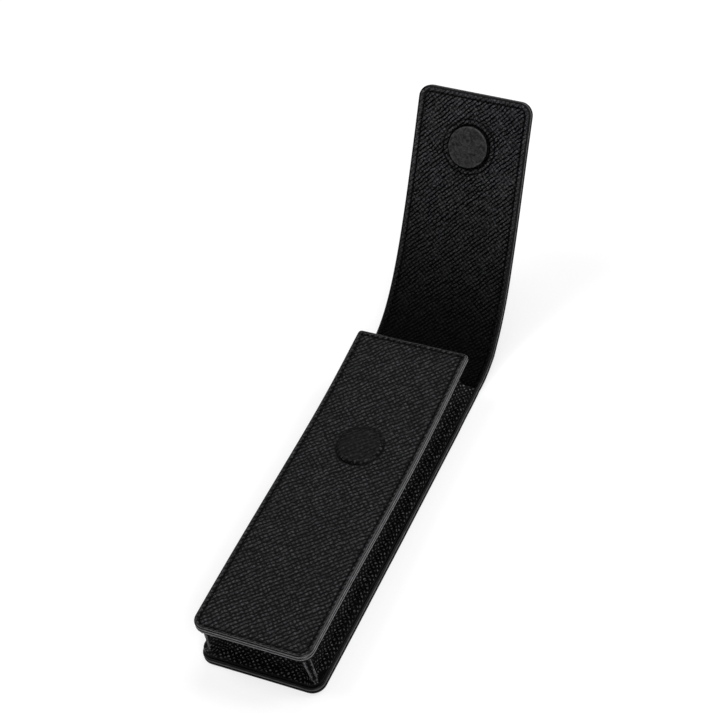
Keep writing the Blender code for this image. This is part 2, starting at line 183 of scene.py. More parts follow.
# Gusset, with its two bottom corners pinched out
gusset_thickness = 1.1 * MM
gusset_gap = 0.3 * MM
gusset_turn = 1.1 * MM
flange_width = 4.6 * MM
lower_rim = 0.3 * MM
upper_rim = 0.9 * MM
wall_draw_in = 8.4 * MM
wall_fold = 0.7 * MM
wall_wave = 0.5 * MM
wall_waves_per_metre = 180
corner_flange_low = 1.6 * MM
corner_flange_high = 1.5 * MM
corner_wall_inset = 2.2 * MM
corner_rows = 9 * MM
pinch_fall = 5 * MM
pinch_dish = 0.7 * MM
pinch_crease = 0.4 * MM
pinch_crease_width = 0.5 * MM
leaf_heights = [0, 0.2, 0.6, 1]
leaf_half_widths = np.array([0.3, 1.0, 1.9, 1.8]) * MM
gusset_mouth_inset = 0.6 * MM
gusset_mouth_gap = 0.06 * MM
skive_length = 8 * MM
skive_share = 0.3
least_radius = 1 * MM
facing_rounds = 40

# Studio, and the camera that took the photograph: its turns in degrees, lens and place
floor_half_width = 2.0
floor_drop = 0.05 * MM
floor_glow = 0.63
dome_strength = 0.07
softbox_size = 0.5
softboxes = (
    ("front_right_softbox", (0.6, -0.6, 0.8), 7.7),
    ("back_right_softbox", (0.7, 0.6, 0.8), 5.3),
    ("top_left_softbox", (-0.6, 0.0, 1.0), 6.7),
    ("top_back_softbox", (0.0, 0.6, 1.0), 5.3),
)
camera_turns = (-35.14, 47.44, 14.23)
camera_place = (278.9 * MM, -366.1 * MM, 572.8 * MM)
camera_lens = 115.15
camera_sensor = 36


def places_along(*stretches):
    """Places along the leather, from stretches of (from, to, step) in millimetres."""
    return np.concatenate([np.arange(*stretch) for stretch in stretches]) * MM


def edge_columns(half_width, fine, zone, coarse):
    """Shares across a panel, -1 to 1, closer together near its edges, where the seams run."""
    near = np.arange(0.0, zone, fine)
    middle = np.linspace(zone, half_width, max(2, int((half_width - zone) / coarse)))
    right = 1 - np.concatenate([near, middle]) / half_width
    return np.concatenate([-right, right[::-1][1:]])


# Rows and columns of the sheets, closer together at seams, boss, bend and disc. The plain ones are for
# linings, boards and edges, which have no relief.
front_rows = places_along((0, 3, 0.18), (3, 68, 0.9), (68, 92, 0.25), (92, 120.6, 1.0), (120.6, 124, 0.18))
front_columns = edge_columns(front_half_width, 0.18 * MM, 2.6 * MM, 0.26 * MM)
plain_front_rows = places_along((2, 124, 3))
plain_front_columns = edge_columns(front_half_width, 1 * MM, 2 * MM, 3 * MM)
strip_rows = places_along((0, 3.4, 0.2), (3.4, 116, 1.5), (116, 138, 0.25), (138, 192, 1.0), (192, 217, 0.5),
                          (217, 224, 0.2))
strip_columns = edge_columns(back_half_width, 0.2 * MM, 3.2 * MM, 0.7 * MM)
plain_strip_rows = places_along((0, 116, 3), (116, 224, 1.0))
plain_strip_columns = edge_columns(back_half_width, 1 * MM, 2 * MM, 4 * MM)
seam_rows = places_along((2, 224, 1.5))
seam_columns = edge_columns(back_half_width, 1 * MM, 2 * MM, 2 * MM)
row_gap = 0.1 * MM
corner_turns = np.linspace(0, math.pi / 2, 9)

# Sheets as (inset, height), from the upper face's rim to the lower one's
upper_sheet = [(paint_inset, panel_thickness), (paint_inset, panel_thickness - skin_thickness)]
lower_sheet = [(paint_inset, skin_thickness), (paint_inset, 0.0)]
board_sheet = [(board_inset, board_high), (board_inset, board_low)]


def srgb(code):
    """A linear colour from an sRGB hex value."""
    parts = [int(code[i:i + 2], 16) / 255 for i in (1, 3, 5)]
    linear = [c / 12.92 if c <= 0.04045 else ((c + 0.055) / 1.055) ** 2.4 for c in parts]
    return (*linear, 1.0)


def node(tree, kind, settings=None, **links):
    """Adds a shader node. Settings name its properties, and links its sockets: a node, socket or value."""
    made = tree.nodes.new("ShaderNode" + kind)
    for name, value in (settings or {}).items():
        setattr(made, name, value)
    for name, value in links.items():
        socket = made.inputs[int(name[1:]) if name[1:].isdigit() else name.replace("_", " ")]
        if isinstance(value, bpy.types.Node):
            value = value.outputs[0]
        if isinstance(value, bpy.types.NodeSocket):
            tree.links.new(value, socket)
        else:
            socket.default_value = value
    return made


def new_material(name):
    material = bpy.data.materials.new(name)
    material.use_nodes = True
    tree = material.node_tree
    tree.nodes.clear()
    return material, tree


def finish(material, shader):
    node(material.node_tree, "OutputMaterial", Surface=shader)
    return material


# The leather's map is in millimetres, so each pattern on it is a number of marks to the millimetre
MAP = "leather_map"
DETAIL_MAP = "detail_map"
groove_drift = 0.13  # grooves wander over 7.7 mm
wear_clouds = 0.09  # wear comes and goes over 11 mm
specks = 1.9  # specks 0.5 mm wide
pores = 3.2  # pores 0.3 mm wide
rubbed_spots = 0.9  # spots of 1.1 mm where the magnet rubs
soft_wrinkles = 0.55  # wrinkles of soft leather 1.8 mm apart
disc_pebbles = 2.2  # pebble grain of 0.45 mm
disc_mottle = 0.7  # rubbed patches of 1.4 mm
paint_lumps = 0.45  # lumps in the edge paint 2.2 mm apart
thread_twist = 1.1  # a wave of diagonal bands, which at this scale are 0.57 mm apart

# Patterns in marks to the metre, on pieces without a leather map
board_fibres = 900.0  # fibres 1.1 mm apart
turning_marks = 2500.0  # 0.4 mm apart, coarser than real ones, which are too fine to show

# Settings that many nodes share
FLAT = {"noise_dimensions": "2D"}
SMOOTH = {"interpolation_type": "SMOOTHSTEP"}
TIMES = {"operation": "MULTIPLY"}
TIMES_PLUS = {"operation": "MULTIPLY_ADD"}
UNSIGNED = {"operation": "ABSOLUTE"}
TONES = {"data_type": "RGBA"}

grain_depth = 0.3 * MM


def cross_grain(tree, place, pitch, shares, slope):
    """Height of a cross-grain embossing, 0 to 1: small cells between two crossing sets of grooves.

    shares are the depths of the grooves that rise to the right and of the crossing ones. Both fade in
    patches of three grooves. slope is the part of each wave, as its sine, over which a cell rises from the
    groove to its top. The grooves drift along the leather and shake from cell to cell.
    """
    drift = node(tree, "TexNoise", FLAT, Vector=place, Scale=groove_drift, Detail=2.0)
    bent = node(tree, "VectorMath", TIMES_PLUS,
                _0=drift.outputs["Color"], _1=(0.9 * pitch, 0.9 * pitch, 0), _2=place)
    shake = node(tree, "TexNoise", FLAT, Vector=place, Scale=0.8 / pitch, Detail=1.0)
    bent = node(tree, "VectorMath", TIMES_PLUS,
                _0=shake.outputs["Color"], _1=(0.5 * pitch, 0.5 * pitch, 0), _2=bent)
    patches = node(tree, "TexNoise", FLAT, Vector=place, Scale=0.3 / pitch, Detail=1.0)
    patch = node(tree, "SeparateColor", Color=patches.outputs["Color"])
    half = math.sqrt(0.5)
    cells = None
    for k, (across, share) in enumerate(zip(((-half, half, 0), (half, half, 0)), shares)):
        line = node(tree, "VectorMath", {"operation": "DOT_PRODUCT"}, _0=bent, _1=across).outputs["Value"]
        turn = node(tree, "Math", TIMES, _0=line, _1=2 * math.pi / pitch)
        wave = node(tree, "Math", {"operation": "SINE"}, _0=turn)
        floor = node(tree, "MapRange",
                     _0=patch.outputs[k], _1=0.36, _2=0.56, _3=1 - 0.6 * share, _4=1 - share)
        ridge = node(tree, "MapRange", SMOOTH, _0=wave, _1=slope[0], _2=slope[1], _3=floor, _4=1.0)
        cells = node(tree, "Math", TIMES, _0=cells, _1=ridge) if cells else ridge
    full = node(tree, "MapRange", _0=shake, _1=0.36, _2=0.62, _3=0.65, _4=1.0)
    return node(tree, "Math", TIMES, _0=cells, _1=full)


def painted_light_ring(tree, place, x, s, radius, width, strength, lower_side):
    """A ring of painted shade, or of painted highlight where strength is below 0, as the share of the tone
    that it leaves.

    A ring that is marked for its lower side is fainter above, following the light. Sizes are in millimetres.
    """
    offset = node(tree, "VectorMath", {"operation": "SUBTRACT"}, _0=place, _1=(x, s, 0))
    away = node(tree, "VectorMath", {"operation": "LENGTH"}, _0=offset).outputs["Value"]
    apart = node(tree, "Math", {"operation": "SUBTRACT"}, _0=away, _1=radius)
    apart = node(tree, "Math", UNSIGNED, _0=apart)
    left = 1 - strength
    if lower_side:
        lean = node(tree, "VectorMath", {"operation": "DOT_PRODUCT"}, _0=offset, _1=(0.3, -1, 0))
        left = node(tree, "MapRange", _0=lean.outputs["Value"], _1=-0.5 * radius, _2=0.2 * radius,
                    _3=1 - 0.3 * strength, _4=left)
    return node(tree, "MapRange", SMOOTH, _0=apart, _1=0.3 * width, _2=width, _3=left, _4=1.0)


def leather(name, light, shares=(0.8, 0.5), slope=(-0.9, 0.6), least=0.15, roughness=0.42, level=0.1,
            pitch=1.35, wrinkle=0.0, pressed=None, rings=(), painted_bend_shade=None, edge="sewn"):
    """Cross-grain calf: embossed, pigmented and sealed, so the cells shine softly. Its colour follows the
    grain's height as painted light: black in the grooves, a painted shade, and paler on the cells' tops, a
    painted highlight.

    pitch is the grooves' spacing in millimetres. Cells lower than least are painted black, and all are specked
    and show uneven wear. pressed is a round place (x, s, radius) in millimetres where a magnet behind the
    leather has rubbed the grain nearly flat, and rings are rings of painted shade and painted highlight round
    the snap.
    squeezed is a stretch (from, to) along the leather that is painted darker, a painted shade where the flap
    bends up from the mouth. A sewn edge has painted shade in the seam's groove and a paler border outside it,
    a painted highlight on the domed border together with rubbing. A folded one has a painted highlight on its
    creases and painted shade between.
    """
    material, tree = new_material(name)
    place = node(tree, "UVMap", {"uv_map": MAP})
    grain = cross_grain(tree, place, pitch, shares, slope)
    inside = node(tree, "SeparateXYZ", Vector=node(tree, "UVMap", {"uv_map": DETAIL_MAP})).outputs["X"]
    from_line = node(tree, "Math", UNSIGNED, _0=inside)
    # Painted light along the seam or creases: a sewn edge gets painted shade in the seam's groove and a paler
    # border, a painted highlight on the domed border together with rubbing; a folded edge gets a painted
    # highlight on its creases and painted shade in the leaf between them.
    if edge == "sewn":
        rub = node(tree, "MapRange", SMOOTH, _0=inside, _1=-0.8, _2=-0.2, _3=0.4, _4=0.0)
        painted_line_light, painted_outer_light = 0.25, 1.3
    else:
        rub = node(tree, "MapRange", SMOOTH, _0=from_line, _1=0.1, _2=0.4, _3=0.9, _4=0.0)
        painted_line_light, painted_outer_light = 1.9, 0.04
    grain = node(tree, "Mix", _0=rub, _2=grain, _3=0.75)
    if pressed:
        x, s, radius = pressed
        away = node(tree, "VectorMath", {"operation": "DISTANCE"}, _0=place, _1=(x, s, 0)).outputs["Value"]
        kept = node(tree, "MapRange", SMOOTH, _0=away, _1=radius - 0.6, _2=radius + 1.2, _3=0.3, _4=1.0)
        rubbed = node(tree, "TexNoise", FLAT, Vector=place, Scale=rubbed_spots, Detail=2.0)
        rubbed = node(tree, "MapRange", _0=rubbed, _1=0.3, _2=0.7, _3=0.3, _4=0.55)
        grain = node(tree, "Mix", _0=kept, _2=rubbed, _3=grain)

    fine = node(tree, "TexNoise", FLAT, Vector=place, Scale=pores, Detail=3.0, Roughness=0.6)
    height = node(tree, "Math", TIMES_PLUS, _0=fine, _1=0.22, _2=grain)
    if wrinkle:
        fold = node(tree, "TexNoise", FLAT, Vector=place, Scale=soft_wrinkles, Detail=2.0, Distortion=0.6)
        height = node(tree, "Math", TIMES_PLUS, _0=fold, _1=wrinkle, _2=height)
    bump = node(tree, "Bump", Height=height, Strength=1.0, Distance=grain_depth)

    # Painted light in the grain: its colour is black in the grooves, a painted shade, and pale on the cells'
    # tops, a painted highlight.
    lit = node(tree, "MapRange", _0=grain, _1=least, _2=1.0)
    tone = node(tree, "Mix", TONES, _0=lit, _6=srgb("#010101"), _7=srgb(light))
    cloud = node(tree, "TexNoise", FLAT, Vector=place, Scale=wear_clouds, Detail=2.0)
    tone_scale_with_painted_light = node(tree, "MapRange", _0=cloud, _1=0.3, _2=0.7, _3=0.9, _4=1.1)
    speck = node(tree, "TexNoise", FLAT, Vector=place, Scale=specks, Detail=1.0)
    # The specks are the leather's own; the next two marks are the painted shade and painted highlight along
    # the seam or creases.
    marks = [node(tree, "MapRange", _0=speck, _1=0.32, _2=0.68, _3=0.35, _4=1.65),
             node(tree, "MapRange", SMOOTH, _0=from_line, _1=0.1, _2=0.45, _3=painted_line_light, _4=1.0),
             node(tree, "MapRange", SMOOTH, _0=inside, _1=-0.7, _2=-0.3, _3=painted_outer_light, _4=1.0)]
    marks += [painted_light_ring(tree, place, *ring) for ring in rings]
    # Painted shade: the lining is painted darker where the flap bends up from the mouth.
    if painted_bend_shade:
        along = node(tree, "SeparateXYZ", Vector=place).outputs["Y"]
        marks.append(node(tree, "MapRange", SMOOTH,
                          _0=along, _1=painted_bend_shade[0], _2=painted_bend_shade[1], _3=0.06, _4=1.0))
    # The tone is scaled by the wear and specks and by all the painted shade and highlight marks.
    for mark in marks:
        tone_scale_with_painted_light = node(tree, "Math", TIMES, _0=tone_scale_with_painted_light, _1=mark)
    shade = node(tree, "VectorMath", {"operation": "SCALE"}, _0=tone.outputs[2], Scale=tone_scale_with_painted_light)
    gloss = node(tree, "MapRange", _0=grain, _1=0.1, _2=0.9, _3=roughness + 0.25, _4=roughness)
    return finish(material, node(tree, "BsdfPrincipled", Base_Color=shade, Roughness=gloss,
                                 Specular_IOR_Level=level, IOR=1.45, Normal=bump))


def smooth_leather():
    """Plain smooth calf on the snap's disc: a fine pebble grain, nearly matt, mottled where it is rubbed.

    Its rim's rounding carries a painted highlight, and below the rim its wall is painted black, a painted
    shade.
    """
    material, tree = new_material("smooth_calf_leather")
    place = node(tree, "UVMap", {"uv_map": MAP})
    pebble = node(tree, "TexVoronoi", {"voronoi_dimensions": "2D", "feature": "SMOOTH_F1"},
                  Vector=place, Scale=disc_pebbles)
    rub = node(tree, "TexNoise", FLAT, Vector=place, Scale=disc_mottle, Detail=3.0, Distortion=1.0)
    mottle = node(tree, "MapRange", _0=rub, _1=0.32, _2=0.68)
    height = node(tree, "Math", TIMES_PLUS, _0=mottle, _1=0.8, _2=pebble.outputs["Distance"])
    bump = node(tree, "Bump", Height=height, Strength=1.0, Distance=0.1 * MM)
    tone = node(tree, "Mix", TONES, _0=mottle, _6=srgb("#171718"), _7=srgb("#333334"))
    # Painted highlight on the rim's rounding, and painted shade on the wall below it.
    rim = painted_light_ring(tree, place, 0.0, 0.0, disc_radius / MM - 0.4, 0.3, -0.5, False)
    wall = painted_light_ring(tree, place, 0.0, 0.0, disc_radius / MM - 0.02, 0.14, 0.95, False)
    tone_scale_with_painted_light = node(tree, "Math", TIMES, _0=rim, _1=wall)
    shade = node(tree, "VectorMath", {"operation": "SCALE"}, _0=tone.outputs[2], Scale=tone_scale_with_painted_light)
    return finish(material, node(tree, "BsdfPrincipled", Base_Color=shade, Roughness=0.5,
                                 Specular_IOR_Level=0.12, IOR=1.45, Normal=bump))


def edge_paint(name, light, roughness, level, lower=1.0):
    """Paint or dye on the cut edges: black and slightly lumpy, with a painted highlight along its two beads,
    broken up by the lumps.

    lower is the share of that painted highlight on the lower bead; below 1 it paints shade there.
    """
    material, tree = new_material(name)
    place = node(tree, "UVMap", {"uv_map": MAP})
    lumps = node(tree, "TexNoise", FLAT, Vector=place, Scale=paint_lumps, Detail=1.0)
    bump = node(tree, "Bump", Height=lumps, Strength=1.0, Distance=0.08 * MM)
    height = node(tree, "SeparateXYZ", Vector=node(tree, "UVMap", {"uv_map": DETAIL_MAP})).outputs["X"]
    turn = node(tree, "Math", TIMES, _0=height, _1=2 * math.pi)
    wave = node(tree, "Math", {"operation": "SINE"}, _0=turn)
    wave = node(tree, "Math", UNSIGNED, _0=wave)
    # Painted highlight along the crests of both beads, with painted shade on the lower bead where lower is
    # below 1.
    bead = node(tree, "MapRange", SMOOTH, _0=wave, _1=0.4, _2=0.95, _3=0.05, _4=1.0)
    upper = node(tree, "MapRange", _0=height, _1=0.42, _2=0.58, _3=lower, _4=1.0)
    rubbed = node(tree, "MapRange", _0=lumps, _1=0.3, _2=0.7, _3=0.6, _4=1.0)
    for mark in (upper, rubbed):
        bead = node(tree, "Math", TIMES, _0=bead, _1=mark)
    tone = node(tree, "Mix", TONES, _0=bead, _6=srgb("#020202"), _7=srgb(light))
    return finish(material, node(tree, "BsdfPrincipled", Base_Color=tone.outputs[2], Roughness=roughness,
                                 Specular_IOR_Level=level, Normal=bump))


def thread():
    """Waxed polyester thread: two plies twisted together, black, with a dull wax shine."""
    material, tree = new_material("waxed_polyester_thread")
    place = node(tree, "UVMap", {"uv_map": MAP})
    twist = node(tree, "TexWave", {"wave_type": "BANDS", "bands_direction": "DIAGONAL"},
                 Vector=place, Scale=thread_twist, Distortion=0.4).outputs[1]
    bump = node(tree, "Bump", Height=twist, Strength=1.0, Distance=0.05 * MM)
    tone = node(tree, "Mix", TONES, _0=twist, _6=srgb("#010101"), _7=srgb("#040405"))
    return finish(material, node(tree, "BsdfPrincipled", Base_Color=tone.outputs[2], Roughness=0.6,
                                 Specular_IOR_Level=0.06, Normal=bump))


def fibre_board():
    """Bonded fibre board inside the panels: matt brown-grey with short pressed fibres."""
    material, tree = new_material("bonded_fibre_board")
    place = node(tree, "TexCoord").outputs["Object"]
    fibres = node(tree, "TexNoise", Vector=place, Scale=board_fibres, Detail=4.0, Distortion=1.5)
    bump = node(tree, "Bump", Height=fibres, Strength=0.6, Distance=0.05 * MM)
    tone = node(tree, "Mix", TONES, _0=fibres, _6=srgb("#4c4338"), _7=srgb("#6b5f50"))
    return finish(material, node(tree, "BsdfPrincipled", Base_Color=tone.outputs[2], Roughness=0.9,
                                 Normal=bump))


def magnet_plate():
    """Nickel plating on the snap's magnets: bright, with turning marks."""
    material, tree = new_material("nickel_plated_magnet")
    place = node(tree, "TexCoord").outputs["Object"]
    marks = node(tree, "TexNoise", Vector=place, Scale=turning_marks, Detail=2.0)
    gloss = node(tree, "MapRange", _0=marks, _3=0.22, _4=0.4)
    return finish(material, node(tree, "BsdfPrincipled", Base_Color=srgb("#c9c6c0"), Metallic=1.0,
                                 Roughness=gloss))


def summed(steps):
    """Running total of steps, from zero."""
    return np.concatenate([[0.0], np.cumsum(steps)])


def smooth_step(low, high, value):
    t = np.clip((value - low) / (high - low), 0, 1)
    return t * t * (3 - 2 * t)


def bell(distance, width):
    """A soft ridge, 1 at its middle, that fades over a width."""
    return np.exp(-(distance / width) ** 2)


def bend_angle(along):
    """How steeply the flap rises, at a distance from where it leaves the floor."""
    return flap_angle * np.tanh(along / bend_length)


# Side view of the flap's outer face: distances along it, and where they lie
profile_along = np.arange(0.0, flap_length + profile_over, profile_pace)
profile_step = np.diff(profile_along)
profile_angle = bend_angle(profile_along[:-1] + profile_step / 2)
profile_y = bend_start + summed(np.cos(profile_angle) * profile_step)
profile_z = summed(np.sin(profile_angle) * profile_step)


def strip_place(x, s, h):
    """World places of points of the long strip that makes the back and the flap.

    Its tip is cut a little askew, and its right edge a little unevenly.
    """
    x, s, h = np.broadcast_arrays(x, s, h)
    x = x + np.interp(s, right_cut_places, right_cut) * np.clip(x / back_half_width, 0, 1)
    lean = tip_skew_middle + (1 - tip_skew_middle) * x / back_half_width
    s = s - tip_skew * lean * smooth_step(bend_start, tip, s)
    along = np.maximum(s - bend_start, 0.0)
    angle = bend_angle(along)
    y = np.where(s > bend_start, np.interp(along, profile_along, profile_y), s)
    z = np.interp(along, profile_along, profile_z)
    return np.stack([x, y - h * np.sin(angle) + bottom_y, z + h * np.cos(angle)], -1)


def sag(s):
    """How far the front panel dips between its stiff bottom edge and its mouth."""
    turn = np.pi * np.clip(s / front_length, 0, 1) ** front_sag_power
    return front_sag * np.abs(np.sin(turn)) ** front_sag_round


def front_place(x, s, h):
    """World places of points of the front panel, which sags along its length and crowns across it."""
    x, s, h = np.broadcast_arrays(x, s, h)
    swell = np.sin(np.pi * np.clip(s / front_length, 0, 1))
    crown = front_crown * swell * (1 - (x / front_half_width) ** 2)
    return np.stack([x, s + bottom_y, front_floor + h + crown - sag(s)], -1)


def strip_half_width(s):
    """Half the strip's width, which flares a little where the leather bends."""
    share = np.clip((s - bend_start) / flap_length, 0, 1)
    flare = bend_flare * bell(s - bend_flare_at, bend_flare_length) - flap_waist * np.sin(np.pi * share)
    return back_half_width + (flap_tip_half_width - back_half_width) * share + flare


def front_panel_half_width(s):
    """Half the front panel's width, which narrows a little towards the mouth."""
    return front_half_width - mouth_narrowing * smooth_step(narrowing_start, narrowing_end, np.asarray(s))


class Panel:
    """A panel's outline as rows across it. A radius rounds an end; a cut end has radius None."""

    def __init__(self, start, end, half_width, start_radius, end_radius, rows, columns):
        self.half_width = half_width
        self.ends = ((start, start_radius, 1), (end, end_radius, -1))
        first = start + (start_radius or 0.0)
        last = end - (end_radius or 0.0)
        self.rows = rows[(rows > first + row_gap) & (rows < last - row_gap)]
        self.columns = columns

    def outline(self, inset):
        """Half width and place of each row, with the edge moved in by inset."""
        ends = []
        for end, radius, way in self.ends:
            if radius is None:
                places = np.array([end])
                widths = self.half_width(places) - inset
            else:
                places = end + way * radius - way * (radius - inset) * np.cos(corner_turns)
                widths = self.half_width(places) - radius + (radius - inset) * np.sin(corner_turns)
            ends.append((widths, places))
        (first_widths, first_places), (last_widths, last_places) = ends
        return (np.concatenate([first_widths, self.half_width(self.rows) - inset, last_widths[::-1]]),
                np.concatenate([first_places, self.rows, last_places[::-1]]))

    def grid(self, inset):
        widths, places = self.outline(inset)
        x = widths[:, None] * self.columns[None, :]
        return x, np.repeat(places[:, None], len(self.columns), 1)

    def loop(self, open_at=None):
        """Row and column of each point round the edge. An open edge leaves out the row at that end."""
        rows = len(self.outline(0.0)[0])
        cols = len(self.columns)
        bottom = [(0, c) for c in range(cols)]
        right = [(r, cols - 1) for r in range(1, rows - 1)]
        top = [(rows - 1, c) for c in range(cols - 1, -1, -1)]
        left = [(r, 0) for r in range(rows - 2, 0, -1)]
        if open_at == "end":
            return [top[-1]] + left + bottom + right + [top[0]]
        if open_at == "start":
            return [bottom[-1]] + right + top + left + [bottom[0]]
        return bottom + right + top + left

    def edge(self, inset, loop):
        """Places x and s of a loop's points, with the edge moved in by inset."""
        rows, cols = np.transpose(loop)
        x, s = self.grid(inset)
        return x[rows, cols], s[rows, cols]


def front_panel(rows, columns):
    return Panel(0.0, front_length, front_panel_half_width, corner_radius, mouth_corner_radius, rows, columns)


def back_length(rows, columns):
    """The strip's length under the case, up to the cut on the bridge."""
    return Panel(back_start, strip_cut, strip_half_width, corner_radius, None, rows, columns)


def flap_leaf(rows, columns):
    """The strip's length from the cut on the bridge to the flap's tip."""
    return Panel(strip_cut, tip, strip_half_width, None, corner_radius, rows, columns)


def make_piece(name, points, faces, maps, materials, smooth_angle=35, face_materials=None, details=None):
    """A mesh object with its leather map, in millimetres along and across the leather, and its detail map."""
    mesh = bpy.data.meshes.new(name)
    mesh.from_pydata(points.tolist(), [], faces)
    corners = np.empty(len(mesh.loops), np.int32)
    mesh.loops.foreach_get("vertex_index", corners)
    for map_name, places in ((MAP, maps / MM), (DETAIL_MAP, details)):
        if places is not None:
            layer = mesh.uv_layers.new(name=map_name)
            layer.uv.foreach_set("vector", places[corners].astype(np.float32).ravel())
    for material in materials:
        mesh.materials.append(material)
    if face_materials is not None:
        mesh.polygons.foreach_set("material_index", face_materials)
    mesh.shade_smooth()
    mesh.set_sharp_from_angle(angle=math.radians(smooth_angle))
    mesh.update()
    piece = bpy.data.objects.new(name, mesh)
    bpy.context.scene.collection.objects.link(piece)
    return piece


def ring_faces(rings, closed=True):
    """Four-sided faces between each ring of points and the next."""
    faces = []
    for a, b in zip(rings, rings[1:]):
        quads = np.stack([a, b, np.roll(b, -1), np.roll(a, -1)], -1)
        faces += (quads if closed else quads[:-1]).tolist()
    return faces


def capped_faces(rings):
    """Faces between rings of points, with the first and the last ring closed."""
    return ring_faces(rings) + [rings[0].tolist(), rings[-1, ::-1].tolist()]


def slab(name, panel, profile, place, material, top_relief=None, bottom_relief=None, snap=None,
         seam_inset=0.0):
    """A closed sheet of leather. profile is (inset, height) at the upper face's rim and at the lower one's.

    Its detail map holds the distance in from the seam, in millimetres.
    """
    points, maps, layers = [], [], []
    count = 0
    for (inset, height), relief in ((profile[0], top_relief), (profile[-1], bottom_relief)):
        x, s = panel.grid(inset)
        if snap and relief is top_relief:
            x, s = snap(x, s)
        h = height + (relief(x, s) if relief else 0.0)
        points.append(place(x, s, h).reshape(-1, 3))
        maps.append(np.stack([x, s], -1).reshape(-1, 2))
        layers.append(np.arange(x.size).reshape(x.shape) + count)
        count += x.size
    faces = []
    for grid, way in zip(layers, (1, -1)):
        quads = np.stack([grid[:-1, :-1], grid[:-1, 1:], grid[1:, 1:], grid[1:, :-1]], -1).reshape(-1, 4)
        faces += quads[:, ::way].tolist()
    rows, cols = np.transpose(panel.loop())
    faces += ring_faces([grid[rows, cols] for grid in layers])
    maps = np.concatenate(maps)
    inside = (edge_distance(panel, maps[:, 0], maps[:, 1]) - seam_inset) / MM
    details = np.stack([inside, np.zeros(len(inside))], -1)
    return make_piece(name, np.concatenate(points), faces, maps, [material], details=details)


def band(name, panel, section, place, material, open_at=None):
    """A closed strip that runs round a panel's edge. section is (inset, height), outside first, all round.

    Its detail map holds the height as a share of the panel's thickness.
    """
    loop = panel.loop(open_at)
    points, maps, details = [], [], []
    walked = summed([math.dist(a, b) for a, b in zip(section, section[1:])])
    for (inset, height), step in zip(section, walked):
        x, s = panel.edge(inset, loop)
        points.append(place(x, s, height))
        maps.append(np.stack([x + step, s], -1))
        details.append(np.full((len(loop), 2), height / panel_thickness))
    rings = np.arange(len(section) * len(loop)).reshape(len(section), len(loop))
    faces = ring_faces([*rings, rings[0]], closed=open_at is None)
    if open_at:
        faces += [rings[::-1, 0].tolist(), rings[:, -1].tolist()]
    return make_piece(name, np.concatenate(points), faces, np.concatenate(maps), [material],
                      details=np.concatenate(details))


def paint_section():
    """The edge paint's section: a thin shell in two beads over the cut edge, that laps onto both faces."""
    gap, lap, step = paint_clearance, paint_wrap, paint_step
    top = panel_thickness + step
    outside = [(lap, top - step / 2), (lap - step, top)]
    for share in np.concatenate([[0, 0.02, 0.05], np.arange(0.1, 0.95, 0.05), [0.95, 0.98, 1]]):
        bead = abs(math.sin(2 * math.pi * share)) ** 0.5
        if 0.25 < share < 0.75:
            bead = bead + (1 - bead) * bead_valley_share
        inset = edge_round - (edge_round + edge_swell) * bead
        outside.append((inset, top - share * (panel_thickness + 2 * step)))
    outside += [(lap - step, -step), (lap, -step / 2)]
    low, high = -gap / 2, panel_thickness + gap / 2
    return outside + [(lap, low), (paint_inset - gap, low), (paint_inset - gap, high), (lap, high)]


def seam_groove(distance):
    """A narrow groove along a seam, in the leather that its tight stitches pull down on both sides."""
    return -groove_depth * bell(distance, groove_width) - pull_depth * bell(distance, pull_width)


def edge_distance(panel, x, s, ends=2):
    """Distance in from a panel's rounded edge, for points on it. ends=1 leaves out its last end."""
    side = panel.half_width(s) - np.abs(x)
    depth = side
    for end, radius, way in panel.ends[:ends]:
        if radius is None:
            continue
        ahead = (s - end) * way
        depth = np.minimum(depth, ahead)
        cx, cy = radius - side, radius - ahead
        corner = (cx > 0) & (cy > 0)
        depth = np.where(corner, np.minimum(depth, radius - np.hypot(cx, cy)), depth)
    return depth


def front_relief(panel):
    """Height of the front leather's face over its flat: seams, the boss over the magnet, and the rim's wear.

    The boss is crisp on its lower right and softer on its upper left.
    """
    def relief(x, s):
        sides = edge_distance(panel, x, s, ends=1)
        h = seam_groove(sides - front_seam_inset) + seam_groove(front_length - mouth_seam_inset - s)
        out_x, out_s = x - boss_x, s - boss_s
        r = np.hypot(out_x, out_s)
        crisp = 0.5 + 0.5 * (out_x - out_s) / np.maximum(r * math.sqrt(2), MM / 10)
        round_off = boss_round * (boss_softest - crisp)
        deep = boss_crease_least + (1 - boss_crease_least) * crisp
        h = h + boss_rise * (1 - smooth_step(boss_radius - round_off, boss_radius, r) ** boss_shoulder)
        h = h - boss_crease_depth * deep * bell(r - boss_radius, boss_crease_width)
        h = h - boss_ring_depth * bell(r - boss_ring_radius, boss_crease_width)
        distance = edge_distance(panel, x, s)
        h = h + border_swell * bell(distance - border_middle, border_width)
        return h - border_fall * (1 - smooth_step(0, border_fall_width, distance))
    return relief


def boss_snap(x, s):
    """Draws the grid round the boss into rings about it, so that its crease runs round cleanly."""
    out_x, out_s = x - boss_x, s - boss_s
    r = np.hypot(out_x, out_s)
    reach = np.maximum(np.abs(out_x), np.abs(out_s))
    ring = smooth_step(*boss_rings_in, reach) * (1 - smooth_step(*boss_rings_out, reach))
    scale = 1 + ring * (reach / np.maximum(r, MM / 100) - 1)
    return boss_x + out_x * scale, boss_s + out_s * scale


def hand_over(piece, nodes=(), bodies=("case",)):
    """Hides the solids of model.glb that a piece replaces, and hangs a piece with one body on that body.

    A piece with two bodies has its place baked into its points; where its leather bends at the fold between
    them is worked out but not used.
    """
    if nodes:
        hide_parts(*nodes)
    if len(bodies) == 1:
        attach(piece, *bodies)
        return
    fold = base_fold if "case" in bodies else top_fold
    start, end = strip_place(0.0, np.array([fold - fold_reach, fold + fold_reach]), panel_thickness / 2)
    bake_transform(piece)


BACK_BODIES = ("case", "flap_bridge")
FLAP_BODIES = ("flap_bridge", "flap_leaf")


